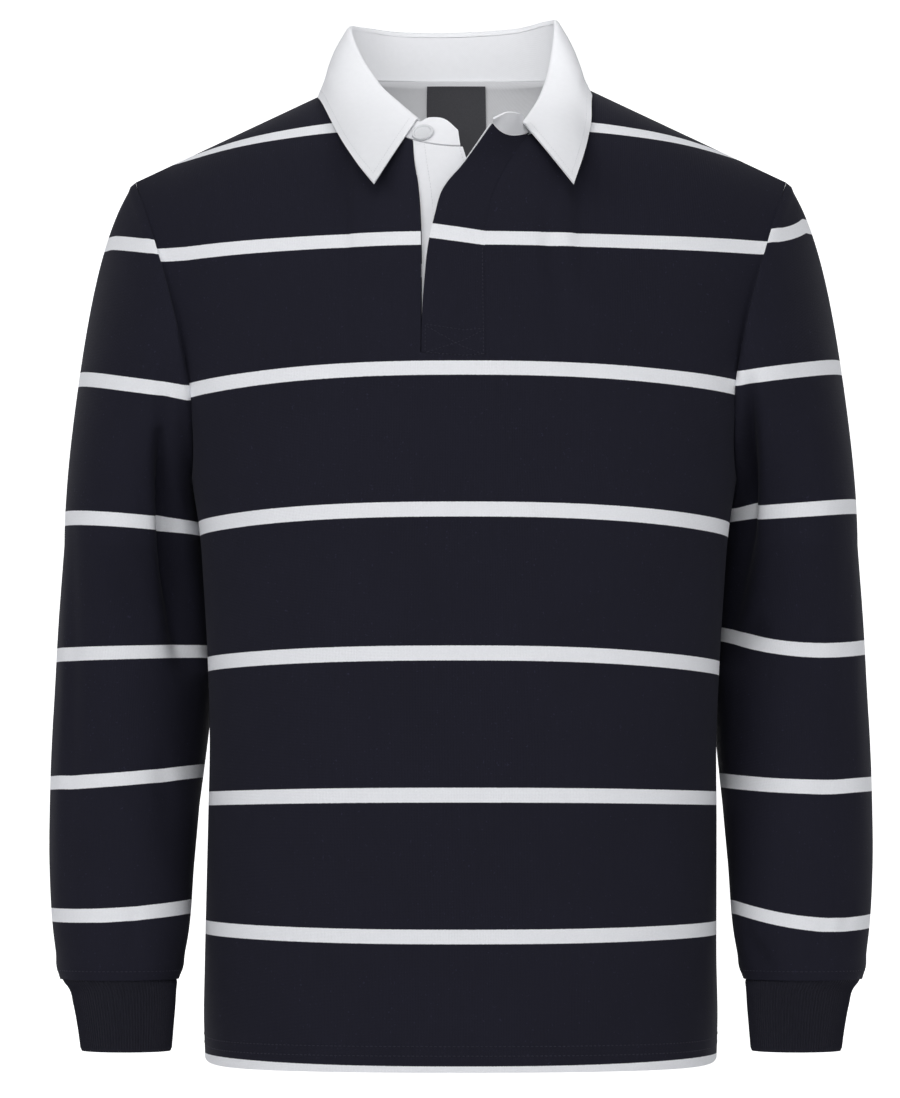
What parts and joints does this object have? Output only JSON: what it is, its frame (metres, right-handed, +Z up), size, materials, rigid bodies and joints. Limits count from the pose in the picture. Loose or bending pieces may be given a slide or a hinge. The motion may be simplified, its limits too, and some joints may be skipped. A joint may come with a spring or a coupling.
{
  "type": "rugby shirt",
  "caption": "Long-sleeved striped rugby shirt in its worn shape, hollow, with a white turned-down collar, buttoned neck opening and ribbed cuffs.",
  "frame": {"origin": "middle of the neck base, level with the points where the shoulder seams meet the collar band", "axes": "+Z up, the shirt's front faces -Y, +X to the wearer's left"},
  "size_m": [0.63, 0.2634, 0.811],
  "materials": {
    "navy_jersey": "matt heavy cotton jersey with narrow white stripes",
    "navy_rib": "matt ribbed knit",
    "white_twill": "smooth cotton twill",
    "black_label": "plain woven label",
    "white_rubber": "satin"
  },
  "bodies": {
    "root": {"front": "navy_jersey", "back": "navy_jersey", "sleeve_left": "navy_jersey", "sleeve_right": "navy_jersey", "cuff_left": "navy_rib", "cuff_right": "navy_rib", "collar_stand": "white_twill", "collar_fall": "white_twill", "placket_top": "navy_jersey", "placket_facing": "white_twill", "placket_under": "white_twill", "neck_facing": "white_twill", "neck_label": "black_label", "button": "white_rubber"}
  },
  "joints": []
}
